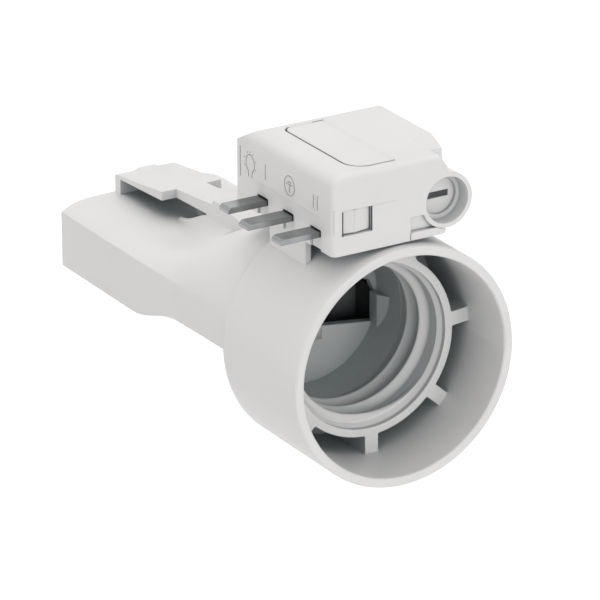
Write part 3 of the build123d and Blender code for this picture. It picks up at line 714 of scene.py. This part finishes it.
@dataclass
class PlugMarks:
    """The plain marks moulded on the plug, most drawn as grey lines of painted shade, and the details of
    the window in its front.
    """

    face: float = -12.3
    front: float = -1.6
    width: float = 0.14
    ridge_width: float = 0.22
    seam_width: float = 0.2
    sunk: float = 0.03
    lamp_at: tuple[float, float] = (-26.45, 28.0)
    lamp_radius: float = 1.3
    lamp_tall: float = 1.1
    lamp_neck: tuple[tuple[float, float], ...] = ((0.62, -1.25), (0.5, -2.3))
    lamp_rays: tuple[float, float] = (1.62, 1.85)
    ray_turns: tuple[float, ...] = (-20, 20, 60, 90, 120, 160, 200)
    earth_at: tuple[float, float] = (-14.5, 28.1)
    earth_radius: float = 1.5
    earth_tall: float = 1.08
    earth_stem: tuple[float, float] = (-1.1, 0.2)
    earth_bars: tuple[float, ...] = (0.9, 0.55)
    earth_bar_step: float = 0.42
    window_left: float = -10.55
    window_right: float = -5.3
    window_bottom: float = 23.55
    window_top: float = 27.5
    rib: float = -8.13
    rib_width: float = 0.5
    rib_depth: float = 0.55
    rib_short: float = 0.1
    edge_widths: tuple[float, float] = (0.30, 0.16)
    edge_depth: float = 0.12
    tab_margins: tuple[float, float] = (0.28, 0.12)
    tab_above: tuple[float, float] = (0.4, 0.5)
    tab_depth: float = 0.8
    tab_proud: float = 0.07
    tab_soft: float = 0.07
    arc_steps: int = 28

    def build(self, paint: Paintbox) -> None:
        """Lays the marks on the pin face, then on the front face.

        Args:
            paint: The finishes.
        """
        white = paint.of(Slot.WHITE)
        ridge = [(x, self.face + self.sunk, z) for x, z in ((-24.0, 25.75), (-5.4, 25.95))]
        put_on(stroke("seam_ridge", ridge, self.ridge_width, white), Body.HOLDER)
        lines = {
            "mark_edge": [(-29.5, 25.0), (-29.5, 30.1)],
            "mark_divider": [(-21.8, 26.8), (-21.8, 29.3)],
            "mark_stroke_1": [(-7.35, 26.85), (-7.35, 29.0)],
            "mark_stroke_2": [(-6.2, 26.75), (-6.2, 29.1)],
        }
        for name, ends in lines.items():
            self.line(name, [(x, self.face, z) for x, z in ends], paint)
        self.lamp_sign(paint)
        self.earth_sign(paint)
        seam = [(self.front - self.sunk, y, 27.62) for y in (-5.1, -0.7)]
        put_on(stroke("seam_front", seam, self.seam_width, white), Body.HOLDER)
        self.line("tick_front", [(self.front, 1.76, z) for z in (20.5, 21.6)], paint)
        self.window(paint)
        log.info("plug marks")

    def window(self, paint: Paintbox) -> None:
        """Near-black strokes of painted shade along the window's edges, the rib on the snap hook in it, and
        the tab beside it.

        Args:
            paint: The finishes.
        """
        for side, y in enumerate((self.window_left, self.window_right)):
            # Painted shade: near-black strokes stand for the shade in the gaps at the window's sides.
            upright = [(self.front - self.edge_depth, y, z) for z in (self.window_bottom, self.window_top)]
            edge = stroke(f"window_edge_{side}", upright, self.edge_widths[side], paint.gap)
            put_on(edge, Body.HOLDER)
        inside = (self.window_bottom + self.rib_short, self.window_top - self.rib_short)
        rib = [(self.front - self.rib_depth, self.rib, z) for z in inside]
        put_on(stroke("window_rib", rib, self.rib_width, paint.of(Slot.WHITE)), Body.HOLDER)
        bm = bmesh.new()
        sides = (self.face + self.tab_margins[0], self.window_left - self.tab_margins[1])
        ends = (self.window_bottom + self.tab_above[0], self.window_top + self.tab_above[1])
        low = Vector((self.front - self.tab_depth, sides[0], ends[0]))
        high = Vector((self.front + self.tab_proud, sides[1], ends[1]))
        soft_bar(bm, low, high, self.tab_soft)
        put_on(new_piece("corner_tab", bm, paint.of(Slot.WHITE)), Body.HOLDER)

    def line(self, name: str, points: Sequence[Point], paint: Paintbox, closed: bool = False) -> None:
        """Adds one line of a mark, in the grey that paints its shade."""
        put_on(stroke(name, points, self.width, paint.line, closed), Body.HOLDER)

    def arc(
        self,
        middle: tuple[float, float],
        radius: float,
        tall: float,
        start: float,
        end: float,
    ) -> list[Point]:
        """Points along an arc on the pin face.

        Args:
            middle: The arc's middle, along the plug and up.
            radius: Its radius along the plug.
            tall: Its height to its width.
            start: Where it starts, in degrees from the mouth's side.
            end: Where it ends, in degrees.

        Returns:
            The points.
        """
        x, z = middle
        turns = [start + (end - start) * step / self.arc_steps for step in range(self.arc_steps + 1)]
        angles = [math.radians(turn) for turn in turns]
        return [(x + radius * math.cos(a), self.face, z + tall * radius * math.sin(a)) for a in angles]

    def lamp_sign(self, paint: Paintbox) -> None:
        """A lamp's outline, open at its neck, with short rays and a stem.

        Args:
            paint: The finishes.
        """
        x, z = self.lamp_at
        outline = self.arc(self.lamp_at, self.lamp_radius, self.lamp_tall, -60, 240)
        self.line("sign_lamp_outline", outline, paint)
        for side in (-1, 1):
            neck = [(x + side * out, self.face, z + up) for out, up in self.lamp_neck]
            self.line(f"sign_lamp_neck_{side + 1}", neck, paint)
        for index, degrees in enumerate(self.ray_turns):
            angle = math.radians(degrees)
            across, up = math.cos(angle), self.lamp_tall * math.sin(angle)
            ray = [(x + r * across, self.face, z + r * up) for r in self.lamp_rays]
            self.line(f"sign_lamp_ray_{index}", ray, paint)

    def earth_sign(self, paint: Paintbox) -> None:
        """A stem under shortening bars, in a ring.

        Args:
            paint: The finishes.
        """
        x, z = self.earth_at
        ring = self.arc(self.earth_at, self.earth_radius, self.earth_tall, 0, 348)
        self.line("sign_earth_ring", ring, paint, closed=True)
        foot, head = (z + end for end in self.earth_stem)
        self.line("sign_earth_stem", [(x, self.face, foot), (x, self.face, head)], paint)
        for index, half in enumerate(self.earth_bars):
            height = head + self.earth_bar_step * index
            bar = [(x - half, self.face, height), (x + half, self.face, height)]
            self.line(f"sign_earth_bar_{index}", bar, paint)


@dataclass
class SlotShade:
    """A near-black bar of painted shade at the floor of the slot in the lock's spindle."""

    axis: tuple[float, float] = (8.45, 25.8)
    face: float = -4.6
    lip: float = 0.2
    floor: float = 0.97
    length: float = 3.94
    width: float = 1.01
    soft: float = 0.06

    def build(self, paint: Paintbox) -> None:
        """Builds the painted shade as a bar with soft edges that turns with the spindle.

        Args:
            paint: The finishes.
        """
        near, under = self.axis[0] - self.length / 2, self.axis[1] - self.width / 2
        low = Vector((self.face - self.floor, near, under))
        high = Vector((self.face - self.lip, self.axis[0] + self.length / 2, self.axis[1] + self.width / 2))
        bm = bmesh.new()
        soft_bar(bm, low, high, self.soft)
        # Painted shade: the dark bar stands for the shade at the bottom of the slot.
        put_on(new_piece("slot_painted_shade", bm, paint.gap), Body.SPINDLE)
        log.info("slot floor")


@dataclass
class FootBlend:
    """The hollow curve that joins the hook's front foot to the arm's roof."""

    side: float = -6.88
    rear: float = -58.5
    front: float = -36.9
    rise: float = 10.5
    fall: float = 5.0
    width: float = 3.6
    first_width: float = 0.25
    last_width: float = 0.25
    first_height: float = 0.1
    under_stem: float = 10.85
    below_stem: float = 0.4
    clear_of_foot: float = 0.3
    least_height: float = 0.2
    skin: float = 0.02
    sunk: float = 0.35
    open_drop: float = 1.0
    steps: int = 34
    bends: int = 12

    def build(self, paint: Paintbox) -> None:
        """Builds the curve on the roof's own height.

        Args:
            paint: The finishes.
        """
        source = bmesh.new()
        source.from_mesh(frame["nodes"]["housing"].data)
        self.roof = BVHTree.FromBMesh(source)
        bm = bmesh.new()
        rows = []
        for step in range(self.steps + 1):
            x = self.rear + (self.front - self.rear) * step / self.steps
            rows.append([bm.verts.new(point) for point in self.section(x)])
        count = len(rows[0])
        for first, second in zip(rows, rows[1:]):
            for index in range(count):
                after = (index + 1) % count
                bm.faces.new((first[index], first[after], second[after], second[index]))
        bm.faces.new(list(reversed(rows[0])))
        bm.faces.new(rows[-1])
        source.free()
        put_on(new_piece("hook_foot_blend", bm, paint.of(Slot.WHITE)), Body.HOLDER)
        log.info("foot blend")

    def height(self, x: float, y: float) -> float:
        """The roof's height at a place.

        Args:
            x: Place along the arm.
            y: Place across it.

        Returns:
            The height in millimetres, or a little under the foot's stem where there is no roof.
        """
        start = Vector((x, y, self.under_stem - self.below_stem)) * MM
        hit = self.roof.ray_cast(start, Vector((0, 0, -1)))[0]
        return hit.z / MM if hit else self.under_stem - self.open_drop

    def section(self, x: float) -> list[Point]:
        """The section at a place along the arm: the curve, then the part sunk in the roof.

        Args:
            x: Place along the arm.

        Returns:
            The section's points.
        """
        share = smooth_step((x - self.rear) / self.rise)
        narrowing = smooth_step((x - self.front + self.fall) / self.fall)
        widening = self.first_width + (1 - self.first_width) * share
        width = self.width * widening * (1 - (1 - self.last_width) * narrowing)
        base = self.height(x, self.side - self.clear_of_foot)
        growth = self.first_height + (1 - self.first_height) * share
        tall = max(self.under_stem - base, self.least_height) * growth
        curve = []
        for bend in range(self.bends + 1):
            turn = math.pi / 2 * bend / self.bends
            y = self.side - width * (1 - math.cos(turn))
            floor = self.height(x, min(y, self.side - self.clear_of_foot))
            lift = tall * (1 - math.sin(turn))
            curve.append((x, y, floor + lift - self.skin))
        edge = self.side - width
        low = self.height(x, edge) - self.sunk
        inside = self.side + self.clear_of_foot
        return curve + [(x, edge, low), (x, inside, base - self.sunk), (x, inside, base + tall)]


@dataclass
class TongueRoot:
    """The thin webs of plastic that join the release tongue to the plug's top at its root and rear."""

    rear: float = -24.6
    front: float = -3.9
    bridge: tuple[float, float] = (-25.3, -24.7)
    bridge_left: float = -6.3
    bridge_right: float = -1.9
    top: float = 33.4
    half_width: float = 0.36
    proud: float = 0.004
    depth: float = 0.5
    crown: int = 8

    def build(self, paint: Paintbox) -> None:
        """Builds the web along the root, then the bridge that closes most of the gap's rear leg.

        Args:
            paint: The finishes.
        """
        self.web("tongue_root_web", (self.rear, self.front), (-self.half_width, self.half_width), paint)
        self.web("gap_rear_bridge", self.bridge, (self.bridge_left, self.bridge_right), paint)
        log.info("tongue root")

    def web(self, name: str, along: Sequence[float], across: Sequence[float], paint: Paintbox) -> None:
        """Builds one web with a faint crown across it.

        Args:
            name: The piece's name.
            along: Its ends along the plug.
            across: Its ends across the plug.
            paint: The finishes.
        """
        bm = bmesh.new()
        rows = []
        for x in along:
            row = []
            for step in range(self.crown + 1):
                share = step / self.crown
                y = across[0] + (across[1] - across[0]) * share
                row.append(bm.verts.new((x, y, self.top + self.proud * math.sin(math.pi * share))))
            row.append(bm.verts.new((x, across[1], self.top - self.depth)))
            row.append(bm.verts.new((x, across[0], self.top - self.depth)))
            rows.append(row)
        count = len(rows[0])
        for index in range(count):
            after = (index + 1) % count
            bm.faces.new((rows[0][index], rows[1][index], rows[1][after], rows[0][after]))
        bm.faces.new(rows[0])
        bm.faces.new(list(reversed(rows[1])))
        put_on(new_piece(name, bm, paint.of(Slot.WHITE)), Body.HOLDER)


@dataclass(frozen=True)
class Softbox:
    """A soft, round patch of brighter light in the dome."""

    towards: Point
    strength: float
    focus: float = 8.0


@dataclass
class Studio:
    """A pale floor, a dim dome with three soft patches of light, and a white background."""

    floor_height: float = -0.13
    floor_size: float = 4.0
    fill: float = 0.40
    ahead: Softbox = Softbox((1.0, 0.0, 0.05), 2.45)
    above: Softbox = Softbox((-0.28, 0.05, 0.95), 2.30)
    beside: Softbox = Softbox((0.0, -1.0, -0.1), 1.00)
    floor_colour: Colour = (0.72, 0.72, 0.72)
    floor_shade: float = 0.98
    floor_mottle: float = 3
    floor_lift: float = 0.52
    dome_colour: Colour = (1.0, 0.998, 0.994)

    def build(self) -> None:
        """Builds the floor and the world's light."""
        self.floor()
        self.world()
        bpy.context.scene.view_settings.view_transform = "Standard"
        log.info("studio")

    def floor(self) -> None:
        """Lays a pale floor that looks white to the camera and keeps its shadow."""
        mesh = bpy.data.meshes.new("floor")
        half = self.floor_size / 2
        z = self.floor_height
        corners = [(-half, -half, z), (half, -half, z), (half, half, z), (-half, half, z)]
        mesh.from_pydata(corners, [], [(0, 1, 2, 3)])
        floor = bpy.data.objects.new("floor", mesh)
        bpy.context.scene.collection.objects.link(floor)
        material = bpy.data.materials.new("pale_floor")
        tree = Tree(material)
        shade = tuple(self.floor_shade * c for c in self.floor_colour)
        tone = tree.blend(tree.noise(self.floor_mottle, detail=2), shade, self.floor_colour)
        diffuse = tree.add("BsdfDiffuse", Color=tone)
        path = tree.add("LightPath")
        shown = tree.add("Math", Value=path.outputs["Is Camera Ray"])
        shown.operation = "MAXIMUM"
        tree.links.new(path.outputs["Is Glossy Ray"], shown.inputs[1])
        lift = tree.add("Math", Value=shown.outputs[0])
        lift.operation = "MULTIPLY"
        lift.inputs[1].default_value = self.floor_lift
        glow = tree.add("Emission", Color=(1, 1, 1, 1), Strength=lift.outputs[0])
        both = tree.nodes.new("ShaderNodeAddShader")
        tree.links.new(diffuse.outputs[0], both.inputs[0])
        tree.links.new(glow.outputs[0], both.inputs[1])
        tree.finish(both.outputs[0])
        mesh.materials.append(material)

    def world(self) -> None:
        """Lights the object from the dome and shows white behind it."""
        world = bpy.data.worlds.new("studio_dome")
        bpy.context.scene.world = world
        world.use_nodes = True
        self.nodes, self.links = world.node_tree.nodes, world.node_tree.links
        self.nodes.clear()
        place = self.nodes.new("ShaderNodeTexCoord").outputs["Generated"]
        level = self.fill
        for box in (self.ahead, self.above, self.beside):
            level = self.math("ADD", level, self.patch(place, box))
        dome = self.nodes.new("ShaderNodeBackground")
        dome.inputs["Color"].default_value = (*self.dome_colour, 1)
        self.links.new(level, dome.inputs["Strength"])
        white = self.nodes.new("ShaderNodeBackground")
        white.inputs["Color"].default_value = (1, 1, 1, 1)
        white.inputs["Strength"].default_value = 1.0
        path = self.nodes.new("ShaderNodeLightPath")
        seen = self.math("MAXIMUM", path.outputs["Is Camera Ray"], path.outputs["Is Transmission Ray"])
        seen = self.math("MAXIMUM", seen, path.outputs["Is Glossy Ray"])
        mix = self.nodes.new("ShaderNodeMixShader")
        self.links.new(seen, mix.inputs[0])
        self.links.new(dome.outputs[0], mix.inputs[1])
        self.links.new(white.outputs[0], mix.inputs[2])
        output = self.nodes.new("ShaderNodeOutputWorld")
        self.links.new(mix.outputs[0], output.inputs["Surface"])

    def math(self, operation: str, first: object, second: object) -> bpy.types.NodeSocket:
        """Adds a maths node to the world.

        Args:
            operation: What it does.
            first: A value or socket.
            second: A value or socket.

        Returns:
            Its result.
        """
        node = self.nodes.new("ShaderNodeMath")
        node.operation = operation
        for socket, value in zip(node.inputs, (first, second)):
            if isinstance(value, bpy.types.NodeSocket):
                self.links.new(value, socket)
            else:
                socket.default_value = value
        return node.outputs[0]

    def patch(self, place: bpy.types.NodeSocket, box: Softbox) -> bpy.types.NodeSocket:
        """The light that one softbox adds in each direction.

        Args:
            place: The direction's socket.
            box: The softbox.

        Returns:
            The added strength.
        """
        dot = self.nodes.new("ShaderNodeVectorMath")
        dot.operation = "DOT_PRODUCT"
        self.links.new(place, dot.inputs[0])
        dot.inputs[1].default_value = Vector(box.towards).normalized()
        facing = self.math("MAXIMUM", dot.outputs["Value"], 0.0)
        return self.math("MULTIPLY", self.math("POWER", facing, box.focus), box.strength)


@dataclass
class PhotoCamera:
    """A long lens in front of the mouth, to the pins' side and above."""

    place: Point = (0.6147567, -0.3887874, 0.3053302)
    right: Point = (0.5163495, 0.8563721, -0.0031692)
    down: Point = (0.3193118, -0.1959602, -0.9271675)
    lens: float = 303.8
    sensor: float = 36.0
    clip: tuple[float, float] = (0.01, 20.0)

    def build(self) -> None:
        """Sets the camera up at the photograph's viewing angle."""
        right = Vector(self.right).normalized()
        up = -Vector(self.down)
        up = (up - right * up.dot(right)).normalized()
        back = right.cross(up)
        turn = Matrix((right, up, back)).transposed().to_4x4()
        data = bpy.data.cameras.new("camera")
        data.lens = self.lens
        data.sensor_width = self.sensor
        data.clip_start, data.clip_end = self.clip
        camera = bpy.data.objects.new("camera", data)
        camera.matrix_world = Matrix.Translation(Vector(self.place)) @ turn
        bpy.context.scene.collection.objects.link(camera)
        bpy.context.scene.camera = camera


def main() -> None:
    """Builds the pieces, the studio and the camera in order."""
    logging.basicConfig(level=logging.INFO, format="%(message)s")
    paint = Paintbox()
    dresser = FramePieces()
    dresser.build(paint)
    PlugShell().build(paint, dresser)
    SocketThread().build(paint)
    PlugMarks().build(paint)
    SlotShade().build(paint)
    FootBlend().build(paint)
    TongueRoot().build(paint)
    Studio().build()
    PhotoCamera().build()


if __name__ == "__main__":
    main()
